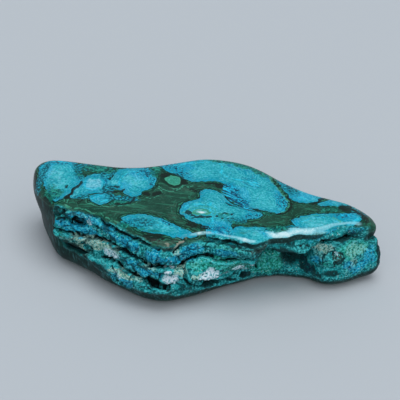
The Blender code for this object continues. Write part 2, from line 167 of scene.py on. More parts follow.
# A soft spot of one tone: centre, half its length and width, the turn of its length in
# degrees, and how strong it is. On the top its centre is (x, y), and on the front (x, height).
Spot = namedtuple("Spot", "u v length width turn amount")
SPOT_FADE = (1.35, 0.55)  # shares of its radius
TOP_SPOTS = {
    "light": [
        (-110, 32, 9, 12, 20, 0.9), (-106, 20, 6, 8, 0, 0.7), (-81, 20, 8, 9, 0, 0.8),
        (-81, 21, 4, 5, 0, 1), (-52, 26, 7, 13, 25, 0.8), (-66, 22, 3.5, 3, 0, 0.8),
        (-93, 8, 3, 6, -20, 0.7), (-2, 35, 6, 7, 0, 0.5), (8, 43, 10, 6, 10, 0.4),
        (44, 10, 9, 16, 10, 0.4), (46, -6, 9, 8, 0, 0.4), (8, 2, 7, 8, 0, 0.4),
        (18, -14, 10, 7, -20, 0.3), (-3, -16.5, 5, 3.5, -10, 1), (80, -27, 11, 6, 0, 0.8),
        (100, -6, 8, 3, 0, 0.6), (-34, -32, 14, 5, -15, 0.6), (33, -42, 10, 5, -10, 0.7),
        (60, -37, 14, 2.5, 0, 0.5), (78, -1, 9, 3, 0, 0.4), (68, 14, 3, 5, 0, 0.6),
        (71, 2, 8, 5, 0, 0.6), (40, 41, 3, 2.5, 0, 0.7),
    ],
    "blue": [
        (-119, 42, 6, 14, 0, 1), (-81, 20, 8, 8, 0, 0.9), (-46, 34, 9, 9, -40, 1),
        (-20, 44, 15, 7, -5, 1), (10, -35, 9, 8, 0, 1), (104, -21, 8, 5, 10, 1), (74, 4, 10, 8, 0, 1),
        (-57, 16, 5, 9, 0, 0.7), (27, 8, 7, 14, 30, 0.9), (-14, -10, 5, 8, -30, 0.7),
        (60, 22, 5, 12, 25, 0.9), (57, 3, 4, 10, 10, 0.8), (-76, 2, 8, 4, 0, 0.8),
        (-48, -28, 7, 5, 0, 0.8), (66, -27, 4, 6, 0, 0.8), (96, -6, 8, 3, 0, 0.7),
        (44, -42, 5, 5, 0, 0.8),
    ],
    "navy": [
        (-44, 34, 7, 8, -40, 0.7), (-38, 27, 4, 9, 0, 0.8), (-16, 44, 13, 7, -10, 0.9),
        (-14, 34, 7, 5, -30, 0.8), (-122, 46, 3, 8, 0, 0.6), (-108, 50, 12, 3, 0, 0.6),
        (26, 2, 4, 12, 35, 0.9), (22, 15, 4, 8, 25, 0.8), (28, 37, 10, 5, -35, 1),
        (36, 28, 5, 6, 30, 0.7), (50, 33, 3, 5, 0, 0.7), (62, 18, 3, 9, 25, 0.5),
        (-86, 22, 2, 8, 0, 0.4), (-72, 22, 2, 8, 0, 0.9), (100, -22, 9, 4, 15, 0.5),
        (-50, -30, 4, 5, 0, 0.7), (-24, -30, 6, 3, -30, 0.4), (9, -35, 8, 6, 0, 0.5),
        (35, -22, 5, 4, 0, 0.7), (56, -2, 4, 8, 0, 0.6), (70, 4, 9, 6, 0, 0.3), (84, 8, 5, 5, 0, 0.3),
        (-10, 51, 16, 4, 5, 0.9), (-95, 40, 3, 9, 15, 0.7), (20, 44, 9, 3, -30, 0.5),
    ],
    "green": [
        (-110, 7, 9, 7, 20, 0.9), (-76, 42, 14, 7, 0, 0.8), (-90, 38, 9, 8, 0, 0.4),
        (-60, -5, 9, 4, 0, 0.7), (-36, 40, 5, 10, 0, 0.8), (17, 52, 13, 4, -10, 1),
        (32, 47, 10, 6, -28, 1), (44, 39, 9, 6, -45, 1), (46, 36, 5, 8, 30, 0.7),
        (54, -37, 9, 4, 0, 0.7), (15, -21, 5, 3, 0, 0.5), (34, 50, 8, 3, -35, 0.8),
        (92, -13, 9, 4, 0, 0.7), (45, -17, 8, 4, -20, 0.5), (30, -42, 9, 3, 0, 0.3),
        (-40, -38, 14, 3, -10, 0.4), (24, -30, 6, 3, 0, 0.5), (-112, 12, 5, 9, 0, 0.6),
        (-57, -33, 4.5, 3.5, 0, 1),
    ],
    "teal": [
        (-94, 38, 3.5, 12, 15, 0.9), (-84, 44, 12, 6, 0, 0.9), (-72, 38, 6, 10, 0, 0.9),
        (-60, 48, 22, 5, 0, 0.8), (-70, 13, 5, 6, 0, 1), (-60, 1, 13, 5, -10, 0.8),
        (-88, 3, 7, 4, 0, 0.6), (-122, 30, 4, 24, -10, 0.8), (40, 44, 16, 6, -42, 1),
        (62, 24, 6, 20, 20, 0.8), (24, -27, 8, 4, 0, 0.6), (-44, -30, 12, 6, 0, 0.6),
        (60, -38, 20, 4, 0, 0.8), (110, -10, 12, 5, -20, 0.5), (-57, -32, 5, 4, 0, 0.8),
    ],
    "streaked": [
        (25, 0, 5, 16, 38, 1), (20, 12, 5, 9, 20, 1), (36, 22, 6, 12, 40, 0.5),
        (-120, 34, 4, 14, 0, 0.4), (12, -38, 8, 5, 0, 0.6), (104, -20, 7, 3, 20, 0.7),
    ],
    "brown": [
        (-101, 17.5, 1.8, 3, 0, 0.9), (-63.5, 16, 2.8, 2.6, 0, 0.8), (-41, 6.5, 3.4, 2.6, 0, 1),
        (-33.5, 7, 4.2, 3.2, 0, 1), (-13, 22, 3.2, 4.5, 0, 0.9), (-27, 32, 4, 4.5, -30, 0.9),
        (5, 20.5, 5, 2, 0, 1), (12, 18.5, 4, 3, -20, 0.9), (-10.5, -17, 2.6, 3.4, 20, 1),
        (0, -22.8, 8, 1.6, 8, 1), (-7, -21, 4, 1.4, -30, 0.9), (-8, -31, 8, 4, -25, 0.7),
        (2, -36, 5, 2.5, -30, 0.7), (10.5, -21, 1.5, 1.2, 0, 0.8), (14, -24, 1.8, 1, 0, 0.8),
        (19, -24, 1.7, 1, 0, 0.8), (21, -20, 1.4, 1.4, 0, 0.8), (16.5, -18.5, 1.6, 1, 0, 0.8),
        (15, -21, 1, 1, 0, 0.7), (-67, 43, 2, 4, 0, 0.7), (-88, -3, 9, 4, -10, 0.5),
        (84, -12, 6, 3, 20, 0.5), (103, -11, 7, 3.5, 20, 0.8), (116, -18, 4, 7, 30, 0.8),
        (24, -33, 6, 1.5, 0, 0.6), (-34, -45, 9, 3.5, -10, 0.8), (-18, 14, 9, 1.5, 0, 0.3),
        (-5, 11, 7, 5, 0, 0.6), (-87, 35, 4, 5, 0, 0.5), (75, -13, 9, 3, 0, 0.4),
    ],
    # Chalky places, and along the near edge a pale rind with a painted highlight
    "pale": [
        (-1, -17, 3.4, 1.4, -12, 1), (-1, -16.5, 6, 3.2, -10, 0.45), (28, -49, 9, 2, -12, 0.8),
        (-81, 21, 7, 8, 0, 0.5), (56, -41.5, 13, 2.4, 0, 0.9), (70, -38, 12, 3.2, 3, 0.75),
        (88, -37.5, 11, 2.6, 12, 0.55),
    ],
}

# Thin lines in the top: the line as (x, y) and half its width
LINE_FADE = (1.7, 0.5)  # shares of half its width
TOP_LINES = {
    "brown": [
        ([(-91, 23), (-94.5, 14), (-100, 1)], 1.4),
        ([(-64, -6), (-57, -6), (-52.5, -4.5), (-50.5, 2)], 0.9),
        ([(-71, 8), (-66, 9), (-60, 10), (-57, 13)], 0.7),
        ([(17, -4), (22, -8), (30, -13), (38, -16), (43, -20)], 0.5),
        ([(62, 4), (64, -3), (64, -10), (59, -17), (52, -19)], 0.8),
        ([(100, -15), (108, -13), (114, -15)], 0.8), ([(88, 2), (84, -4), (80, -7)], 0.9),
        ([(-129, 44), (-127, 34), (-124, 16), (-116, 4), (-111, -5)], 1.5),
    ],
    "deep": [
        ([(-89, 13), (-89.5, 26), (-80, 31), (-72.5, 26), (-72, 16), (-80, 11), (-89, 13)], 0.6),
        ([(-85, 17), (-84.5, 24), (-80, 26), (-76.5, 23), (-77, 18), (-80.5, 15.5), (-85, 17)], 0.6),
        ([(-60, 26), (-56, 33), (-48, 36)], 0.6), ([(36, -40), (42, -39), (42, -44)], 0.7),
        ([(-18, -14), (-13, -6), (-3, -3), (6, -4)], 0.5), ([(47, 34), (53, 20), (57, 5)], 0.6),
        ([(17, 49), (24, 43), (33, 38), (44, 34)], 0.9), ([(74, -24), (84, -22), (96, -24)], 0.5),
    ],
    "bright": [
        ([(13, 52), (15, 42), (14, 34), (20, 29), (30, 25), (39, 22)], 0.9),
        ([(51, 33), (56, 22), (60, 9), (59, -4), (56, -13)], 0.8),
        ([(-25, 46), (-14, 48), (-4, 51), (6, 52)], 0.9),
        ([(-16, -14), (-12, -9), (-4, -6.5), (5, -7.5), (12, -13)], 0.7),
        ([(6, -4), (5, -14), (7, -24), (6, -38)], 0.9),
        ([(30, -38), (40, -37), (45, -41), (41, -46)], 0.6),
        ([(-87, 15), (-87, 25), (-80, 28), (-74.5, 25), (-74.5, 17), (-80, 13), (-87, 15)], 0.6),
        ([(-123, 46), (-120, 52), (-110, 53), (-101, 50)], 1.2),
        ([(-60, 16), (-62, 24), (-58, 33), (-51, 38)], 0.8),
        ([(-80, 1), (-74, 4), (-69, 1), (-73, -3)], 1.2), ([(70, -28), (78, -24), (90, -24)], 0.7),
        ([(96, -34), (106, -27), (113, -19)], 0.9),
        ([(-46, -25), (-36, -27), (-26, -31), (-14, -38)], 0.6),
        ([(-45, -31), (-34, -33), (-24, -36)], 0.5), ([(66, 12), (69, 4), (76, -1)], 0.8),
    ],
    "vein": [
        ([(-102, 1), (-101, -4)], 0.5), ([(-98.5, 0), (-98, -5)], 0.5),
        ([(-85, -2), (-80, -7), (-72, -9), (-60, -8.5), (-51, -8), (-48, -3)], 0.5),
        ([(-32, 17), (-29, 12), (-22, 11), (-12, 16), (-6, 18)], 0.6),
        ([(-33, 14), (-30, 7), (-35, 2.5), (-42, 2), (-48, 1)], 0.5),
        ([(-24, 15), (-18, 14), (-12, 18.5)], 0.5),
        ([(50, 30), (53, 20), (57, 9), (61.5, 0), (62, -10), (57, -17.5)], 0.7),
        ([(88, -22), (94, -25), (101, -30)], 0.6),
        ([(-100, -6), (-88, -11), (-76, -16), (-66, -24), (-58, -31)], 0.5),
        ([(66, -25), (76, -21), (90, -20)], 0.4),
        ([(-14, -18), (-10, -12.5), (-3, -9.5), (4, -10.5), (9, -15), (9, -19)], 0.5),
    ],
}

# The tones of the crust, seen from the front: centre (x, height). Its brown is olive.
CRUST_SPOTS = {
    "blue": [
        (-87, 48, 12, 4, 0, 1), (-86, 39, 13, 4, -5, 0.9), (-101, 39.5, 7, 3, 0, 0.9),
        (-92, 35, 10, 2, 0, 0.8), (-66, 46, 9, 4, -8, 0.8), (-52, 45, 8, 4.5, 0, 0.9),
        (-33, 43, 8, 5, 0, 1), (-20, 42, 6, 4, 0, 0.7), (-8, 44, 9, 4.5, 0, 1), (-12, 38, 6, 3, 0, 0.9),
        (-50, 33, 9, 4, 0, 0.5), (-39, 31, 9, 4, 0, 0.7), (-31, 29, 3, 3, 0, 0.9),
        (-53, 16, 5, 7, 0, 1), (-60, 20, 6, 3, 0, 0.5), (-68, 17, 8, 4, 0, 0.4),
        (15, 42, 11, 4, 0, 0.6), (82, 24, 6, 3, 30, 0.7), (104, 21, 5, 4, 0, 0.7),
        (114, 18, 9, 5, 25, 0.65), (121, 25, 5, 9, 0, 0.65), (76, 15, 4, 6, 40, 0.5),
        (90, 50, 6, 2.4, 0, 0.6), (108, 47, 8, 3, 0, 0.45), (80, 46, 8, 4, 0, 0.4),
        (-104, 15, 8, 2, 0, 0.4), (-26, 38, 6, 2, 0, 0.5), (30, 15, 4, 5, 0, 0.3),
    ],
    "cream": [
        (-72, 34, 15, 3, 3, 1), (-86, 30.5, 15, 3.6, 5, 1), (-98, 25, 12, 3, -8, 0.5),
        (-58, 24, 11, 2.2, 0, 1), (-89, 23, 5, 3, -20, 0.8), (-46, 24, 6, 1.6, -10, 0.6),
        (-37, 35, 7, 2, 0, 0.6), (-18, 46, 6, 3, -40, 0.6), (-15, 32, 6, 4, -30, 0.8),
        (-5, 34, 5, 3, 0, 0.4), (87, 34, 10, 3.6, 8, 0.8), (110, 31, 11, 6, -8, 0.5),
        (84, 29, 5, 4, 0, 0.45), (108, 24, 4, 6, 0, 0.5), (-4, 26, 5, 2, 0, 0.8),
        (-14, 50, 8, 1.8, 10, 0.6), (26, 28, 10, 4, 0, 0.4), (104, 18, 5, 5, 0, 0.4),
        (46, 22, 9, 6, 0, 0.3),
    ],
    "white": [
        (-82, 45.5, 2.4, 3, -20, 0.7), (-65, 32, 7, 3.4, 0, 0.7), (-23, 26, 6, 3.6, 0, 1),
        (-24, 33, 3, 1.6, 0, 1), (-19, 29, 3, 2, 0, 0.7), (5, 25, 7, 4.6, 0, 1),
        (10, 21, 9, 2.4, -8, 1), (26, 25, 5, 2.6, 0, 0.8), (37, 29, 3, 1.6, 0, 0.8),
        (6, 30, 3, 1.6, 0, 0.6), (96, 31, 2.2, 1, 0, 0.6), (-82, 48, 3, 2, 40, 0.5),
        (30, 20, 5, 3, 0, 0.5), (-60, 22, 5, 1.6, 0, 0.5),
    ],
    "green": [
        (10, 33, 24, 5, 0, 0.9), (27, 25, 14, 6, 0, 0.9), (18, 46, 14, 3, 0, 0.6),
        (47, 18, 14, 12, 0, 1), (-46, 46, 5, 4, 0, 0.5), (-108, 45, 6, 5, 0, 0.6),
        (0, 46, 4, 4, 0, 0.6), (92, 24, 9, 4, 0, 0.6), (108, 32, 14, 7, 0, 0.8),
        (-24, 16, 5, 6, 0, 0.4), (60, 48, 16, 3, 0, 0.5), (-106, 29, 6, 3, 0, 0.7),
        (-90, 28, 12, 5, 0, 0.4),
    ],
    "brown": [
        (60, 49, 17, 3.4, 0, 1), (40, 46, 8, 3, 0, 0.7), (-31, 50, 12, 2, 0, 0.8),
        (-92, 50, 14, 1.4, 0, 0.6), (97, 29.5, 3.4, 2.6, 0, 1), (62, 16, 10, 3, 0, 0.4),
        (-88, 22, 16, 3, -5, 0.6),
    ],
    # Partly dark mineral, partly painted shadow in pits, the cave, the gap by the knob, under ledges
    "dark": [
        (-91, 42, 5.5, 2.2, 0, 1), (-105, 47, 9, 5, -10, 0.7), (-103, 43, 4, 2, 15, 0.8),
        (-76, 45, 4, 2.2, 0, 0.4), (-34, 23, 6.5, 2.6, -20, 1), (-26, 20.5, 4.5, 1.8, -10, 1),
        (5, 15, 8, 2.6, -10, 0.9), (30, 12.5, 4.5, 3.2, 0, 1), (21, 11.5, 5, 2, 0, 0.8),
        (67, 25, 11, 12, -20, 1), (62, 44.5, 4.5, 2.6, 0, 0.7), (55, 46.5, 11, 2.4, 0, 0.45),
        (-75, 19, 9, 4.5, 0, 0.9), (-100, 22, 13, 3.4, 0, 1), (-90, 18, 12, 4, 0, 0.8),
        (93, 15, 8, 3.4, 0, 0.8), (80, 14, 6, 4, -30, 0.8), (98, 26.4, 3.6, 1.8, 0, 1),
        (-54, 51, 14, 1.2, 0, 0.8), (57, 37, 13, 6, -20, 0.9), (40, 33, 4, 8, 0, 0.7),
        (-12, 19, 7, 4, -30, 0.5), (40, 46, 6, 4, 0, 0.5), (102, 40, 15, 1.6, -3, 0.8),
        (104, 19.5, 2, 2, 0, 0.6), (-28, 49.5, 22, 1.8, 0, 0.9), (26, 49.5, 22, 1.6, 0, 1),
        (128.5, 24, 2.4, 12, 0, 0.9), (104, 45, 16, 3, 0, 0.4), (47, 25, 10, 9, 0, 0.3),
        (73, 17, 4.5, 9, 10, 0.9),
    ],
}

# The near edge of the top: how pale it is, as (x, amount), the slopes that it rolls over, and
# how deep it goes. It is a pale rind with a painted highlight. A painted shadow line runs under
# it, between two depths, and ends near the knob.
PALE_RIND_AND_HIGHLIGHT = [(-112, 0.1), (-40, 0.15), (-24, 0.2), (-10, 0.2), (-4, 0.9), (4, 0.9), (8, 0.3),
             (14, 0.6), (33, 0.9), (40, 0.0), (43, 0.0), (50, 0.95), (70, 1.0), (80, 0.75),
             (90, 0.6), (111, 0.6), (116, 0.1)]
EDGE_STARTS = (0.95, 0.88)
EDGE_ENDS = (0.62, 0.76)
EDGE_DEPTH = (4.5, 3.0)
SHADOW_LINE_SLOPE = (0.62, 0.48)
SHADOW_LINE_STARTS = (2.0, 3.5)
SHADOW_LINE_STOPS = (9, 6)
SHADOW_LINE_END = (94, 80)

# Bare tan rind along the notch in the near edge, as (x, height)
TAN_RIND = [(-25, 50.5, 2.4, 1.0, -20, 0.6), (-15, 50.5, 6, 1.0, 12, 0.8)]

# Relief of the crust that is finer than the solid's. Crevices: line as (x, height), half
# width, depth. Pits and balls: centre, half its length and width, turn, height.
CREVICES = [
    ([(-108, 44), (-98, 51), (-86, 51.5), (-74, 50.5), (-62, 49.5), (-48, 49.5), (-30, 48)], 1.3, 1.8),
    ([(-20, 47), (-12, 49), (-2, 49.5), (10, 49), (24, 49)], 1.2, 2.0),
    ([(-112, 33.5), (-98, 33), (-90, 34), (-80, 36), (-68, 38), (-50, 38.5), (-36, 36.5)], 1.3, 2.6),
    ([(-36, 36.5), (-22, 35.5), (-14, 34), (-8, 37.5), (4, 38.5), (14, 36), (36, 36)], 1.4, 3.0),
    ([(-110, 23), (-100, 21.5), (-90, 20.5), (-85, 22), (-82, 26), (-70, 27), (-52, 27)], 1.3, 2.6),
    ([(-52, 27), (-46, 25), (-40, 24), (-34, 22), (-26, 20)], 1.2, 2.4),
    ([(-14, 36), (-13, 28), (-10, 21), (-4, 17), (6, 14.5), (18, 12), (30, 12)], 1.3, 2.2),
    ([(-64, 25), (-60, 18), (-61, 13)], 0.8, 1.2),
    ([(38, 38), (39, 30), (37, 24), (39, 16)], 1.3, 2.0),
    ([(84, 38), (94, 41), (106, 41), (114, 39.5), (121, 37), (128, 35.5)], 1.4, 2.6),
]
PITS = [
    (-91, 42, 6, 2.4, 0, -3), (-34, 23, 6, 2.2, -20, -3.5), (-26, 20.5, 4, 1.6, -10, -3),
    (30, 12.5, 4, 2.8, 0, -3), (97.5, 25.5, 5.4, 5.2, 0, -2.2), (-76, 45, 3.4, 1.8, 0, -1.5),
    (-102, 43.5, 4, 2, 15, -1.5), (104, 19.5, 2, 2, 0, -1), (80, 18, 3, 3, 0, -1),
    (20, 12, 4, 1.6, 0, -1.5),
]
BALLS = [
    (97.5, 27, 4, 3.8, 0, 4.2), (-33, 43, 6.5, 4.6, 0, 1.2), (-86, 48, 9, 2.8, 0, 1),
    (3, 24, 8, 3, 0, 1.2), (-23, 26, 5, 3, 0, 0.8),
]
UNEVEN = ((1.4, 9.0, 1), (0.6, 3.5, 2))  # noises that their heights wander by: reach, size, seed
CREVICE_FADE = 1.5  # a crevice ends at this many times half its width
SWELL = 1.7  # how far the crust swells along both sides of a crevice
SWELL_REACH = (6.5, 2.0)
PIT_FADE = (1.2, 0.4)  # shares of its radius
CARVED = 0.02  # lumps and grains are carved from this share of crust

# Lumps of the crust: the size of one, how high it stands and how much shade is painted into its
# groove. Grains: the size of one and how high it stands
LUMPS = ((11.5, 2.6, 0.7), (5.6, 0.7, 0.0))
LUMP_FLATNESS = 1.35
LUMP_STEEPNESS = 1.7
LUMP_ROUNDNESS = 0.8
LUMP_LEVEL = 0.6  # the part of a lump that neither stands out nor lies deep
GROOVE_EDGE = (0.36, 0.08)  # the part of a lump that is its groove
GRAINS = ((6.0, 1.3), (3.2, 0.9), (1.8, 0.4))
LUMPY_SIZE = 16.0  # size of the places that are lumpier than others
LUMPY = (-0.35, 0.35)
LEAST_LUMPS = 0.25  # share of the lumps, and of the grains, that the least lumpy places have
LEAST_GRAINS = 0.3
WORN = [  # where the crust is worn smooth, as (x, height)
    (80, 48, 44, 5, 0, 1), (104, 14, 30, 8, 0, 0.8), (55, 18, 18, 14, 0, 0.7),
    (124, 30, 10, 24, 0, 0.9), (-108, 30, 6, 20, 0, 0.9), (-12, 50, 14, 3, 0, 0.8),
]
WEAR = 0.8  # the share of the lumps that is gone there

# How hollow the crust is, against its near and its wider surroundings. Shade is painted into its
# hollows, and light onto its ridges.
NEAR_PASSES = 6
WIDER_PASSES = 24
GROOVE_DEPTH = (0.12, 0.42)
CREVICE_DEPTH = (0.8, 2.0)
RIDGE_HEIGHT = (0.05, 0.35)
WHITE_FILL = 0.7  # how much of the painted shade in a hollow the white druse takes away

# The marks on the vertices that the material reads. pool and eye are depths in mm, edge is above
# 0 on the pale rind and its painted highlight and below 0 in the painted shadow line under it, and
# the others are shares. hollow and ridge carry painted shade and light, and dark is partly painted
# shadow.
TONES = sorted({*TOP_SPOTS, *TOP_LINES, *CRUST_SPOTS})
MARKS = ["pool", "eye", "edge", "tan", "side", "crust", "slope", "hollow", "ridge", *TONES]

# Patterns of the material. NOISES go from 0 to 1, by size. DRAWN_OUT are noises drawn out along
# a line, by width, and by the degrees that it leans and turns. The real stipple and druse are
# finer than the grit, which is as coarse as it needs to be to show.
NOISES = {"patch": 24.0, "cloud": 10.0, "grain": 3.4, "grit": 1.6}
DRAWN_OUT = {"bands": (3.0, 0, -12), "flow": (2.0, 0, -40), "fall": (1.8, 80, 0)}
DRAW = 6.0  # how many times longer than wide
ROUGH = {"Detail": 3.0, "Roughness": 0.6}
DISTORTION = 0.4
DRAWN_DISTORTION = 0.3
SPECK_SPACING = 2.2
SUMS = {  # of marks and patterns, by weight
    "depth": {"pool": 1.0, "cloud": 3.0, "grain": 0.8},  # how deep in a pool, plus 1.9
    "core": {"eye": 1.0, "grain": 1.2},  # how deep in the green eye, plus 0.6
    "mottle": {"grain": 3.0, "grit": 2.0},  # about 2.5, for the dissolving edge of a mark
    # About 0 at a pool's rim, more where it is navy and less in its depth and where it is light
    "stir": {"navy": 2.0, "pool": -0.16, "light": -0.9, "cloud": 2.0, "patch": -2.0},
    "ring_phase": {"pool": 3.2, "cloud": 9.0, "grain": 1.5},  # a ring every 2 mm
    "streak_phase": {"cloud": 55.0, "pool": 0.9, "grain": 3.0},
    "druse": {"grain": 1.0, "grit": 1.2},
}
WAVES = {"rings": "ring_phase", "streaks": "streak_phase"}

# Finish: a fine polish, a dull crust, and a left end that is nearly as dull
POLISH_ROUGHNESS = 0.16
CRUST_ROUGHNESS = 0.55
SIDE_DULLNESS = 0.8
STONE_IOR = 1.46
STONE_SPECULAR = 0.12
DRUSE_HEIGHT = 1.0
DRUSE_STRENGTH = 0.8

# A layer of colour: its greatest share, its shade, and its rises. A rise is its two values, and
# the field that it rises with, or a sum of fields by weight. The share is the product of all.
IN_POOL = (1.8, 2.1, "depth")
MALACHITE = "#1d473a"
POLISHED_LAYERS = [
    # Malachite: clouds, drawn-out bands, and contour lines along the shore of a pool
    (0.7, "#35584a", [(0.5, 0.64, "cloud")]),
    (0.7, "#0f3a2c", [(0.48, 0.36, "patch")]),
    (0.5, "#2f7c64", [(0.54, 0.62, "bands")]),
    (0.6, "#12382d", [(0.45, 0.37, "bands")]),
    (0.4, "#3a8a74", [(0.92, 1.0, "streaks"), (0.46, 0.54, "grain")]),
    (0.8, "#0a3026", [(-3.0, 0.4, "depth")]),
    (0.9, "#062320", [(0.9, 1.2, "depth"), (0.42, 0.5, "cloud")]),
    (0.7, "#318a70", [(0.2, 0.5, "depth"), (1.2, 0.9, "depth"), (0.44, 0.52, "grain")]),
    (0.6, "#2c8068", [(-1.9, -1.6, "depth"), (-1.0, -1.3, "depth"), (0.54, 0.46, "grain")]),
    (0.5, "#2c8068", [(-4.6, -4.3, "depth"), (-3.6, -3.9, "depth"), (0.46, 0.52, "grain")]),
    # Dark malachite with grey streaks, round the left end and under the crust
    (0.8, "#0a2627", [(0.2, 0.8, "side")]),
    (0.6, "#06171a", [(0.2, 0.8, "side"), (0.5, 0.44, "fall")]),
    (0.45, "#44767c", [(0.2, 0.8, "side"), (0.56, 0.61, "fall")]),
    # Chrysocolla: teal and cyan clouds, paler in the middle
    (1.0, "#0893a4", [IN_POOL]),
    (0.7, "#0c898c", [IN_POOL, (0.5, 0.6, "patch")]),
    (0.7, "#27a7b2", [IN_POOL, (-0.9, -1.9, {"stir": 1, "grain": -1.0})]),
    (0.8, "#4bbbc4", [IN_POOL, (2.0, 3.1, {"light": 1, "cloud": 1.5, "grain": 2.0})]),
    (0.35, "#8cd8dc", [IN_POOL, (0.3, 1.0, "light"), (0.5, 0.6, "grain")]),
    (0.6, "#0a8294", [IN_POOL, (0.49, 0.42, "flow"), (0.56, 0.47, "cloud")]),
    (0.3, "#1d98dc", [IN_POOL, (2.7, 3.2, {"blue": 1, "mottle": 1})]),
    # Its bright rim, broken up by blue and dark mottle and by rings
    (0.8, "#069dba", [IN_POOL, (0.0, 1.2, {"stir": 1, "grain": 2.0})]),
    (0.7, "#067a9c", [IN_POOL, (0.0, 0.9, "stir"), (0.5, 0.57, "grain")]),
    (0.6, "#20c0dc", [IN_POOL, (-0.5, 0.5, "stir"), (0.5, 0.56, "grain")]),
    (0.7, "#58c8d2", [IN_POOL, (0.6, 0.95, "rings"), (0.47, 0.55, "cloud")]),
    (0.6, "#07647c", [IN_POOL, (-0.5, -0.9, "rings"), (-0.4, 0.8, "stir"), (0.47, 0.54, "grain")]),
    (0.9, "#07436c", [(0.2, 0.7, "streaked"), (0.48, 0.43, "flow")]),
    (0.9, "#22c4ea", [(0.2, 0.7, "streaked"), (0.52, 0.56, "flow")]),
    (0.8, "#22c2dc", [IN_POOL, (0.4, 0.8, "bright"), (0.42, 0.5, "grain")]),
    (0.7, "#0a6f9c", [IN_POOL, (0.4, 0.8, "deep"), (0.44, 0.5, "grain")]),
    # Stipple: light, dark and nearly black
    (0.4, "#5cc4d4", [IN_POOL, (0.53, 0.58, "grit")]),
    (0.4, "#0a6f88", [IN_POOL, (0.47, 0.42, "grit")]),
    (0.8, "#07506e", [IN_POOL, (-0.8, 0.8, "stir"), (0.5, 0.54, "grit")]),
    (0.9, "#043446", [IN_POOL, (-0.8, 0.8, "stir"), (0.54, 0.59, "grit")]),
    # The mottled teal and green between the pools
    (0.9, "#086472", [(0.05, 0.3, "teal"), (2.8, 3.3, {"teal": 1.2, "mottle": 1})]),
    (0.8, "#1aa0b4", [(0.1, 0.6, "teal"), (0.53, 0.58, "grit")]),
    (0.8, "#06363f", [(0.1, 0.6, "teal"), (0.49, 0.43, "grit")]),
    (0.5, "#35b4c6", [(0.1, 0.6, "teal"), (2.75, 3.0, "mottle")]),
    (0.8, "#0f6a5c", [(0.05, 0.3, "green"), (2.8, 3.4, {"green": 1.2, "mottle": 1})]),
    (0.7, "#2f9a88", [(0.2, 0.7, "green"), (2.6, 2.85, "mottle")]),
    (0.8, "#063a34", [(0.2, 0.7, "green"), (0.49, 0.42, "grit")]),
    # The green eye in its dark surround
    (0.85, "#0b2a21", [(-2.8, -1.8, "core"), (0.9, 0.5, "core")]),
    (1.0, "#3f9a80", [(0.4, 0.8, "core")]),
    (0.9, "#2c8672", [(1.2, 2.2, "core")]),
    (0.9, "#3ea894", [(1.8, 3.0, "core"), (0.48, 0.56, "grit")]),
    # Light veins, brown patches and chalky places, and a painted highlight along the near edge
    (0.7, "#429e84", [(0.35, 0.8, "vein"), (0.42, 0.5, "grain")]),
    (0.88, "#131f1c", [(3.5, 3.9, {"brown": 2, "mottle": 1})]),
    (0.8, "#7fcad6", [(1.7, 2.6, {"pale": 2, "mottle": 0.5})]),
    (0.8, "#dfe6e4", [(3.1, 4.2, {"pale": 3, "mottle": 0.5})]),
]
CRUST = "#0a6c70"
CRUST_LAYERS = [
    (0.9, "#0d8c90", [(0.4, 0.54, "cloud")]),
    (0.9, "#12957f", [(3.3, 3.8, {"green": 2, "mottle": 1})]),
    (0.7, "#3cb09c", [(0.2, 0.7, "green"), (0.5, 0.56, "grit")]),
    (0.8, "#22a4a9", [(0.53, 0.6, "grain"), (0.44, 0.52, "cloud")]),
    (1.0, "#088cb2", [(3.2, 3.7, {"blue": 2, "mottle": 1})]),
    (0.8, "#16aacc", [(0.2, 0.7, "blue"), (2.45, 2.7, "mottle")]),
    # Painted light on the crust's ridges
    (0.5, "#36bcc4", [(0.3, 1.0, {"ridge": 1, "blue": -1.5})]),
    (0.6, "#16a6c8", [(0.3, 1.0, "ridge"), (0.2, 0.7, "blue")]),
    # Painted light on the crust's upward faces, and painted shade on its downward faces
    (0.4, "#44bcc0", [(0.0, 0.7, {"slope": 1, "blue": -1.5}), (0.46, 0.54, "grain")]),
    (0.45, "#06282b", [(0.05, -0.45, "slope")]),
    (0.85, "#3a4439", [(0.3, 0.8, "brown")]),
    (0.8, "#66a696", [(0.3, 0.8, "cream"), (2.0, 2.4, {"cream": 0.5, "mottle": 0.8})]),
    (0.9, "#bccbb8", [(0.3, 0.8, "cream"), (0.47, 0.52, "grit")]),
    (0.7, "#54c8cc", [(0.53, 0.59, "grit")]),
    (0.5, "#d8f2ec", [(0.24, 0.1, "speck"), (0.46, 0.56, "cloud")]),
    (0.65, "#04292c", [(0.46, 0.4, "grit"), (1.0, 0.3, {"cream": 0.7})]),
    (0.8, "#8cc8d2", [(0.2, 0.6, "white"), (2.3, 2.7, {"mottle": 1, "white": 0.4})]),
    (0.9, "#dbe8f2", [(0.3, 0.8, "white"), (0.45, 0.52, "grit")]),
    # Dark: partly dark mineral, partly painted shadow in pits, the cave and the gaps
    (0.9, "#081a1b", [(0.1, 0.4, "dark"), (2.9, 3.7, {"dark": 1.4, "mottle": 1})]),
    # Painted shade in the crust's grooves, crevices and hollows, near black in the deepest
    (0.8, "#0b3d42", [(0.2, 0.7, "hollow")]),
    (0.95, "#020e10", [(0.6, 1.0, "hollow")]),
]
# Near edge: painted shadow line under it, pale rind with a painted highlight, bare tan rind
RIND_HIGHLIGHT_AND_SHADOW_LAYERS = [
    (0.9, "#0a2a2a", [(-0.15, -0.6, "edge")]),
    (0.5, "#8fd0dc", [(0.2, 0.6, "edge")]),
    (0.9, "#c4e0e4", [(1.95, 2.45, {"edge": 1, "mottle": 0.5})]),
    (0.8, "#9a9a8c", [(0.3, 0.8, "tan"), (0.42, 0.5, "grain")]),
]


def smooth_step(low, high, value):
    """0 up to low, 1 from high, and an even rise between them."""
    t = np.clip((value - low) / (high - low), 0, 1)
    return t * t * (3 - 2 * t)


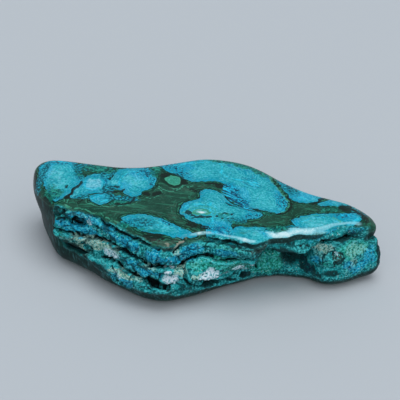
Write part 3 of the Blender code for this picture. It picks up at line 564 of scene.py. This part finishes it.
def smooth_curve(points, closed=True, steps=5):
    """A Catmull-Rom curve through points, with that many steps from one to the next."""
    p = np.array(points, float)
    if closed:
        p = np.vstack([p[-1:], p, p[:2]])
    else:
        p = np.vstack([2 * p[:1] - p[1:2], p, 2 * p[-1:] - p[-2:-1]])
    t = np.linspace(0, 1, steps, endpoint=False)[None, :, None]
    a, b, c, d = (p[i:len(p) - 3 + i, None, :] for i in range(4))
    curve = 2 * b + (c - a) * t + (2 * a - 5 * b + 4 * c - d) * t**2
    curve = 0.5 * (curve + (3 * b - a - 3 * c + d) * t**3)
    curve = curve.reshape(-1, p.shape[1])
    return np.vstack([curve, curve[:1] if closed else p[-2:-1]])


def distance_to(curve, u, v):
    """Distance of every point (u, v) from a curve."""
    nearest = np.full(len(u), 1e9)
    for (u0, v0), (u1, v1) in zip(curve[:-1], curve[1:]):
        run, rise = u1 - u0, v1 - v0
        share = np.clip(((u - u0) * run + (v - v0) * rise) / (run * run + rise * rise + 1e-9), 0, 1)
        nearest = np.minimum(nearest, np.hypot(u - u0 - share * run, v - v0 - share * rise))
    return nearest


def inside(curve, u, v):
    """True for the points (u, v) that a closed curve goes round."""
    crossings = np.zeros(len(u), int)
    for (u0, v0), (u1, v1) in zip(curve[:-1], curve[1:]):
        spans = (v0 > v) != (v1 > v)
        crossings += spans & (u < u0 + (v - v0) * (u1 - u0) / (v1 - v0 + 1e-12))
    return crossings % 2 == 1


def depth_in(outline, u, v):
    """How far each point (u, v) lies inside a smooth outline, and below 0 outside it."""
    curve = smooth_curve(outline)
    away = distance_to(curve, u, v)
    return np.where(inside(curve, u, v), away, -away)


def along(table, x):
    """What a table says at each x, straight from one of its entries to the next."""
    return np.interp(x, *zip(*table))


def noise_at(places, size, seed=0):
    """Smooth noise from -1 to 1 whose lumps are about that size."""
    shift = Vector([seed * step for step in NOISE_STEP])
    return np.array([noise.noise(Vector(p) / size + shift) for p in places])


def noise_sum(noises, places):
    """The sum of noises, each given by its reach, size and seed."""
    return sum(reach * noise_at(places, size, seed=seed) for reach, size, seed in noises)


def spot_reach(spot, u, v):
    """Distance from a spot's centre as a share of its radius."""
    turn = np.radians(spot.turn)
    along_it = (u - spot.u) * np.cos(turn) + (v - spot.v) * np.sin(turn)
    across_it = (v - spot.v) * np.cos(turn) - (u - spot.u) * np.sin(turn)
    return np.hypot(along_it / spot.length, across_it / spot.width)


def tone(spots, u, v):
    """The strongest of the spots at each point."""
    amount = np.zeros(len(u))
    for spot in map(Spot._make, spots):
        fade = smooth_step(*SPOT_FADE, spot_reach(spot, u, v))
        amount = np.maximum(amount, spot.amount * fade)
    return amount


def line_tone(lines, u, v):
    """1 on the lines, fading to 0 past half their width."""
    amount = np.zeros(len(u))
    for points, half_width in lines:
        away = distance_to(smooth_curve(points, closed=False), u, v)
        start, full = (half_width * share for share in LINE_FADE)
        amount = np.maximum(amount, smooth_step(start, full, away))
    return amount


def top_height(x):
    """Height of the polished top, which curves down at both ends."""
    left = LEFT_FALL[1] * np.clip(LEFT_FALL[0] - x, 0, None) ** 2
    right = RIGHT_FALL[1] * np.clip(x - RIGHT_FALL[0], 0, None) ** 2
    return THICKNESS - left - right


def crust_share(places, slope):
    """1 on the natural crust of the front, 0 on the polished faces."""
    x, y, z = places.T
    ragged = noise_at(places, RAGGED_SIZE, seed=11)
    x = x + RAGGED_X * ragged - END_LEAN * np.clip(z - END_LEAN_FROM, 0, None)
    z = z + RAGGED_Z * ragged
    front = smooth_step(*CRUST_SIDE, along(MIDLINE, x) - y)
    front *= 1 - smooth_step(*NOSE_X, x) * smooth_step(*NOSE_Z, z)
    start = along(CRUST_START, x)
    deep_enough = smooth_step(start, CRUST_FULL * start, top_height(x) - z)
    below_edge = np.maximum(deep_enough, smooth_step(*CRUST_SLOPE, slope))
    rim = along(RIM, x)
    return front * below_edge * smooth_step(rim - RIM_FADE, rim + RIM_FADE, z)


def rows_of(mesh, what):
    """The vertices' co or normal, as rows."""
    rows = np.empty(len(mesh.vertices) * 3, np.float32)
    mesh.vertices.foreach_get(what, rows)
    return rows.reshape(-1, 3).astype(float)


def places_of(mesh):
    """The vertices' places, in millimetres."""
    return rows_of(mesh, "co") / MM


def move_to(mesh, places):
    """Puts the vertices at these places."""
    mesh.vertices.foreach_set("co", (places * MM).astype(np.float32).ravel())


def mark(mesh, name, values):
    """Keeps one number for each vertex, for the material to read."""
    layer = mesh.attributes.new(name, "FLOAT", "POINT")
    layer.data.foreach_set("value", np.asarray(values, np.float32))


def marked(mesh, name):
    """The numbers that mark keeps."""
    values = np.empty(len(mesh.vertices), np.float32)
    mesh.attributes[name].data.foreach_get("value", values)
    return values.astype(float)


def neighbour_mean(mesh, rows, passes):
    """Rows of numbers on the vertices, each blurred with its neighbours'."""
    edges = np.empty(len(mesh.edges) * 2, int)
    mesh.edges.foreach_get("vertices", edges)
    start = np.concatenate([edges[0::2], edges[1::2]])
    end = np.concatenate([edges[1::2], edges[0::2]])
    count = np.bincount(start, minlength=len(rows))
    for _ in range(passes):
        total = np.stack([np.bincount(start, column[end], len(rows)) for column in rows.T], 1)
        rows = 0.5 * rows + 0.5 * total / count[:, None]
    return rows


def blurred_normals(mesh, passes):
    """The vertices' normals, each blurred with its neighbours'."""
    return neighbour_mean(mesh, rows_of(mesh, "normal"), passes)


def vertex_group(piece, name, shares):
    """A vertex group with the given share for each vertex."""
    group = piece.vertex_groups.new(name=name)
    levels = np.round(shares * GROUP_LEVELS).astype(int)
    for level in range(1, GROUP_LEVELS + 1):
        chosen = np.nonzero(levels == level)[0].tolist()
        group.add(chosen, level / GROUP_LEVELS, "REPLACE")


def modify(piece, kind, **settings):
    """Adds a modifier to the piece and applies it."""
    modifier = piece.modifiers.new(kind.lower(), kind)
    for name, value in settings.items():
        setattr(modifier, name, value)
    bpy.context.view_layer.objects.active = piece
    bpy.ops.object.modifier_apply(modifier=modifier.name)


def copy_of_solid():
    """A copy of the solid whose triangles share their corners."""
    bpy.ops.object.select_all(action="DESELECT")
    stone = bpy.data.objects.new("banded_stone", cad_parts[SOLID].data.copy())
    bpy.context.scene.collection.objects.link(stone)
    stone.select_set(True)
    bpy.context.view_layer.objects.active = stone
    stone.data.materials.clear()
    bpy.ops.object.mode_set(mode="EDIT")
    bpy.ops.mesh.select_all(action="SELECT")
    bpy.ops.mesh.remove_doubles(threshold=MERGE * MM)
    bpy.ops.object.mode_set(mode="OBJECT")
    return stone


def lower_lip(mesh):
    """Takes the slab's underside down over the gap and the knob."""
    places = places_of(mesh)
    x, _, z = places.T
    down = smooth_step(*FACING_DOWN, rows_of(mesh, "normal")[:, 2])
    underside = down * smooth_step(*LIP_HEIGHT, z)
    places[:, 2] -= LIP_DROP * underside * along(LIP_REACH, x)
    move_to(mesh, places)


def set_back_edge(mesh):
    """Sets the slab's near edge back over the gap."""
    places = places_of(mesh)
    x, y, z = places.T
    starts, full = (along(MIDLINE, x) - distance for distance in EDGE_BEFORE)
    near_edge = smooth_step(starts, full, y) * smooth_step(*EDGE_HEIGHT, z)
    places[:, 1] += along(SET_BACK, x) * near_edge
    move_to(mesh, places)


def smooth_polish(stone):
    """Smooths the polished faces, and the crust a little."""
    slope = blurred_normals(stone.data, SLOPE_PASSES)[:, 2]
    crust = crust_share(places_of(stone.data), slope)
    vertex_group(stone, "polish", 1 - crust)
    vertex_group(stone, "crust", crust)
    for group, passes in (("polish", POLISH_PASSES), ("crust", CRUST_PASSES)):
        modify(stone, "SMOOTH", factor=SMOOTHING, iterations=passes, vertex_group=group)
    stone.vertex_groups.clear()


def refine(mesh):
    """Marks the crust and the slope, and halves the mesh spacing of the top and the crust."""
    slope = blurred_normals(mesh, FINAL_SLOPE_PASSES)[:, 2]
    places = places_of(mesh)
    crust = crust_share(places, slope)
    mark(mesh, "crust", crust)
    mark(mesh, "slope", slope)
    chosen = (crust > FINE_CRUST) | ((slope > FINE_SLOPE) & (places[:, 2] > FINE_FROM))
    bpy.ops.object.mode_set(mode="EDIT")
    bpy.ops.mesh.select_all(action="DESELECT")
    bpy.ops.object.mode_set(mode="OBJECT")
    for face in mesh.polygons:
        face.select = bool(chosen[list(face.vertices)].all())
    bpy.ops.object.mode_set(mode="EDIT")
    bpy.ops.mesh.select_mode(type="FACE")
    bpy.ops.mesh.subdivide(number_cuts=1, smoothness=0)
    bpy.ops.object.mode_set(mode="OBJECT")


def lump_relief(places, size):
    """Rounded lumps about that size, from 0 in the narrow grooves between them to 1 on top."""
    flat = places * (1.0, 1.0, LUMP_FLATNESS) / size
    pairs = np.array([noise.voronoi(Vector(p))[0][:2] for p in flat])
    return np.clip((pairs[:, 1] - pairs[:, 0]) * LUMP_STEEPNESS, 0, 1) ** LUMP_ROUNDNESS


def carve_crust(mesh):
    """Crevices, pits, lumps and grains, moved in and out along the blurred normals."""
    places = places_of(mesh)
    x, _, z = places.T
    crust = marked(mesh, "crust")
    height = z + noise_sum(UNEVEN, places)
    relief = np.zeros(len(places))
    for points, half_width, depth in CREVICES:
        away = distance_to(smooth_curve(points, closed=False), x, height)
        relief -= (depth + SWELL) * smooth_step(half_width * CREVICE_FADE, 0, away)
        relief += SWELL * smooth_step(*SWELL_REACH, away)
    for spot in map(Spot._make, PITS + BALLS):
        relief += spot.amount * smooth_step(*PIT_FADE, spot_reach(spot, x, height))

    chosen = crust > CARVED
    lumpy = smooth_step(*LUMPY, noise_at(places[chosen], LUMPY_SIZE, seed=9))
    lumpy *= 1 - WEAR * tone(WORN, x[chosen], z[chosen])
    grooves = np.zeros(len(places))
    share = LEAST_LUMPS + (1 - LEAST_LUMPS) * lumpy
    for size, tall, dark in LUMPS:
        lumps = lump_relief(places[chosen], size)
        relief[chosen] += tall * share * (lumps - LUMP_LEVEL)
        groove = dark * lumpy * smooth_step(*GROOVE_EDGE, lumps)
        grooves[chosen] = np.maximum(grooves[chosen], groove)
    share = LEAST_GRAINS + (1 - LEAST_GRAINS) * lumpy
    for size, tall in GRAINS:
        relief[chosen] += tall * share * noise_at(places[chosen], size, seed=10)
    # The grooves between lumps get painted shade, by way of the hollow mark
    mark(mesh, "groove", grooves)

    outward = blurred_normals(mesh, RELIEF_PASSES)
    outward /= np.linalg.norm(outward, axis=1, keepdims=True)
    move_to(mesh, places + outward * (relief * crust)[:, None])
    mesh.update()


def mark_hollows(mesh, places, crust, white):
    """Marks grooves, crevices and ridges, by how far the crust lies from its blurred self."""
    outward = blurred_normals(mesh, HOLLOW_PASSES)
    near = neighbour_mean(mesh, places, NEAR_PASSES)
    wider = neighbour_mean(mesh, near, WIDER_PASSES)
    groove = np.einsum("ij,ij->i", near - places, outward)
    crevice = np.einsum("ij,ij->i", wider - places, outward)
    hollow = np.maximum(smooth_step(*GROOVE_DEPTH, groove), smooth_step(*CREVICE_DEPTH, crevice))
    hollow = np.maximum(hollow, marked(mesh, "groove"))
    # Painted shade in the hollows, less where white druse fills them
    mark(mesh, "hollow", hollow * crust * (1 - WHITE_FILL * white))
    # Painted light on the ridges
    mark(mesh, "ridge", smooth_step(*RIDGE_HEIGHT, -groove) * crust)


def mark_minerals(mesh):
    """Marks every vertex with what the stone is made of there, and with painted highlight and shadow.
    """
    places = places_of(mesh)
    x, y, z = places.T
    crust = marked(mesh, "crust")
    slope = marked(mesh, "slope")
    below = top_height(x) - z
    front = smooth_step(*FRONT_SIDE, along(MIDLINE, x) - y)
    dark_side = np.maximum(front, smooth_step(*LEFT_END, x))
    under = smooth_step(*UNDER_TOP, below) * (1 - crust)
    on_top = (1 - crust) * (1 - under)
    u, v, w = x, y, z
    for size, level_reach, upright_reach, seeds in WANDER:
        first, second = (noise_at(places, size, seed=seed) for seed in seeds)
        u = u + level_reach * first
        v = v + level_reach * second
        w = w + upright_reach * second

    pool = np.max([depth_in(outline, u, v) for outline in POOLS], axis=0)
    elsewhere = noise_sum(HIDDEN_POOLS, places) + HIDDEN_LEVEL - DARK_SIDE * dark_side
    mark(mesh, "pool", pool * (1 - under) + elsewhere * under)
    lens = depth_in(GREEN_LENS, u, v)
    eye = np.maximum(depth_in(GREEN_EYE, u, v), np.where(lens > 0, lens, FAR_OUT))
    mark(mesh, "eye", np.where(on_top > 0.5, eye, FAR_OUT))
    mark(mesh, "side", under * (dark_side * smooth_step(*UPRIGHT, slope)))

    for name in TONES:
        spots = tone(TOP_SPOTS.get(name, ()), u, v)
        top = np.maximum(spots, line_tone(TOP_LINES.get(name, ()), u, v))
        mark(mesh, name, top * on_top + tone(CRUST_SPOTS.get(name, ()), u, w) * crust)

    # Pale rind with a painted highlight along the near edge, and a painted shadow line under it
    edge = smooth_step(*EDGE_STARTS, slope) * smooth_step(*EDGE_ENDS, slope)
    edge *= smooth_step(*EDGE_DEPTH, below)
    line = smooth_step(*SHADOW_LINE_SLOPE, slope) * smooth_step(*SHADOW_LINE_STARTS, below)
    edge -= line * smooth_step(*SHADOW_LINE_STOPS, below) * smooth_step(*SHADOW_LINE_END, x)
    mark(mesh, "edge", edge * front * along(PALE_RIND_AND_HIGHLIGHT, x))
    mark(mesh, "tan", tone(TAN_RIND, x, w) * front)
    mark_hollows(mesh, places, crust, tone(CRUST_SPOTS["white"], u, w))


def colour(text):
    """An sRGB hex value as the linear colour that a node takes."""
    parts = [int(text[i:i + 2], 16) / 255 for i in (1, 3, 5)]
    return [p / 12.92 if p <= 0.04045 else ((p + 0.055) / 1.055) ** 2.4 for p in parts] + [1.0]


def add(tree, kind, inputs=None, **settings):
    """Adds a node with its settings and links. A socket's input is a value or another socket."""
    node = tree.nodes.new("ShaderNode" + kind)
    for name, value in settings.items():
        setattr(node, name, value)
    for key, value in (inputs or {}).items():
        if isinstance(value, bpy.types.NodeSocket):
            tree.links.new(value, node.inputs[key])
        else:
            node.inputs[key].default_value = value
    return node


def layered(tree, fields, shade, layers):
    """A colour with layers over it, each mixed in where all of its rises say."""
    for share, tint, rises in layers:
        for low, high, source in rises:
            weights = {source: 1} if isinstance(source, str) else source
            total = 0.0
            for name, weight in weights.items():
                total = add(tree, "Math", {0: fields[name], 1: weight, 2: total},
                            operation="MULTIPLY_ADD").outputs[0]
            share = add(tree, "MapRange", {0: total, 1: low, 2: high, 4: share},
                        interpolation_type="SMOOTHSTEP").outputs[0]
        shade = add(tree, "Mix", {0: share, 6: shade, 7: colour(tint)}, data_type="RGBA").outputs[2]
    return shade


def chrysocolla_and_malachite():
    """Chrysocolla in malachite, cut and polished on all sides but the front's natural crust.

    Its polish gives clear highlights over bands and mottled pools. Its crust is dull, grainy druse.
    Shade is painted into the crust's hollows and lower faces and light onto its ridges and upper
    faces, and a highlight and a shadow line are painted along the near edge.
    """
    material = bpy.data.materials.new("polished_chrysocolla_in_malachite")
    material.use_nodes = True
    tree = material.node_tree
    tree.nodes.clear()
    fields = {name: add(tree, "Attribute", attribute_name=name).outputs["Fac"] for name in MARKS}
    place = add(tree, "TexCoord").outputs["Object"]
    for name, size in NOISES.items():
        fields[name] = add(tree, "TexNoise", {
            "Vector": place, "Scale": 1 / (size * MM), "Distortion": DISTORTION,
            **ROUGH}).outputs[0]
    for name, (width, lean, turn) in DRAWN_OUT.items():
        drawn = add(tree, "Mapping", {
            "Vector": place, "Rotation": (0, np.radians(lean), np.radians(turn)),
            "Scale": (DRAW, 1, 1)}, vector_type="TEXTURE").outputs[0]
        fields[name] = add(tree, "TexNoise", {
            "Vector": drawn, "Scale": 1 / (width * MM), "Distortion": DRAWN_DISTORTION,
            **ROUGH}).outputs[0]
    cells = add(tree, "TexVoronoi", {"Vector": place, "Scale": 1 / (SPECK_SPACING * MM)})
    fields["speck"] = cells.outputs["Distance"]
    for name, weights in SUMS.items():
        total = 0.0
        for part, weight in weights.items():
            total = add(tree, "Math", {0: fields[part], 1: weight, 2: total},
                        operation="MULTIPLY_ADD").outputs[0]
        fields[name] = total
    for name, source in WAVES.items():
        fields[name] = add(tree, "Math", {0: fields[source]}, operation="SINE").outputs[0]

    polished = layered(tree, fields, colour(MALACHITE), POLISHED_LAYERS)
    crusty = layered(tree, fields, colour(CRUST), CRUST_LAYERS)
    shade = add(tree, "Mix", {0: fields["crust"], 6: polished, 7: crusty}, data_type="RGBA").outputs[2]
    shade = layered(tree, fields, shade, RIND_HIGHLIGHT_AND_SHADOW_LAYERS)
    dull = add(tree, "Math", {0: fields["side"], 1: SIDE_DULLNESS, 2: fields["crust"]},
               operation="MULTIPLY_ADD").outputs[0]
    rough = add(tree, "MapRange", {0: dull, 3: POLISH_ROUGHNESS, 4: CRUST_ROUGHNESS}).outputs[0]
    druse = add(tree, "Math", {0: fields["druse"], 1: fields["crust"]}, operation="MULTIPLY").outputs[0]
    bump = add(tree, "Bump", {"Height": druse, "Strength": DRUSE_STRENGTH,
                                        "Distance": DRUSE_HEIGHT * MM}).outputs[0]
    surface = add(tree, "BsdfPrincipled", {
        "Base Color": shade, "Roughness": rough, "Normal": bump, "IOR": STONE_IOR,
        "Specular IOR Level": STONE_SPECULAR})
    add(tree, "OutputMaterial", {"Surface": surface.outputs[0]})
    return material


def studio():
    """Floor, light and camera."""
    bpy.ops.mesh.primitive_plane_add(size=FLOOR_SIDE)
    floor = bpy.context.object
    floor.name = "floor"
    paint = bpy.data.materials.new("matt_pale_grey_paint")  # even, with no highlight
    paint.use_nodes = True
    shader = paint.node_tree.nodes["Principled BSDF"]
    shader.inputs["Base Color"].default_value = colour(FLOOR)
    shader.inputs["Roughness"].default_value = FLOOR_ROUGHNESS
    floor.data.materials.append(paint)

    world = bpy.data.worlds.new("soft_room")
    world.use_nodes = True
    background = world.node_tree.nodes["Background"]
    background.inputs["Color"].default_value = colour(ROOM)
    background.inputs["Strength"].default_value = ROOM_POWER
    bpy.context.scene.world = world

    for softbox in SOFTBOXES:
        lamp = bpy.data.lights.new(softbox.name, "SUN")
        lamp.angle = np.radians(softbox.spread)
        lamp.energy = softbox.power
        light = bpy.data.objects.new(softbox.name, lamp)
        light.rotation_euler = Vector(softbox.side).to_track_quat("Z", "Y").to_euler()
        bpy.context.scene.collection.objects.link(light)

    lens = bpy.data.cameras.new("camera")
    lens.lens = LENS
    lens.sensor_width = SENSOR
    camera = bpy.data.objects.new("camera", lens)
    tilt = np.radians(VIEW_ELEVATION)
    back = Vector((0, -np.cos(tilt), np.sin(tilt)))
    camera.location = (Vector(VIEW_CENTRE) + VIEW_DISTANCE * back) * MM
    camera.rotation_euler = Euler((np.pi / 2 - tilt, 0, 0))
    bpy.context.scene.collection.objects.link(camera)
    bpy.context.scene.camera = camera
    bpy.context.scene.view_settings.view_transform = "Standard"


stone = copy_of_solid()
lower_lip(stone.data)
modify(stone, "REMESH", mode="VOXEL", voxel_size=VOXEL * MM)
set_back_edge(stone.data)
smooth_polish(stone)
refine(stone.data)
carve_crust(stone.data)
mark_minerals(stone.data)
stone.data.materials.append(chrysocolla_and_malachite())
bpy.ops.object.select_all(action="DESELECT")
stone.select_set(True)
bpy.context.view_layer.objects.active = stone
bpy.ops.object.shade_smooth()
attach(stone, "root")
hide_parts(SOLID)
studio()
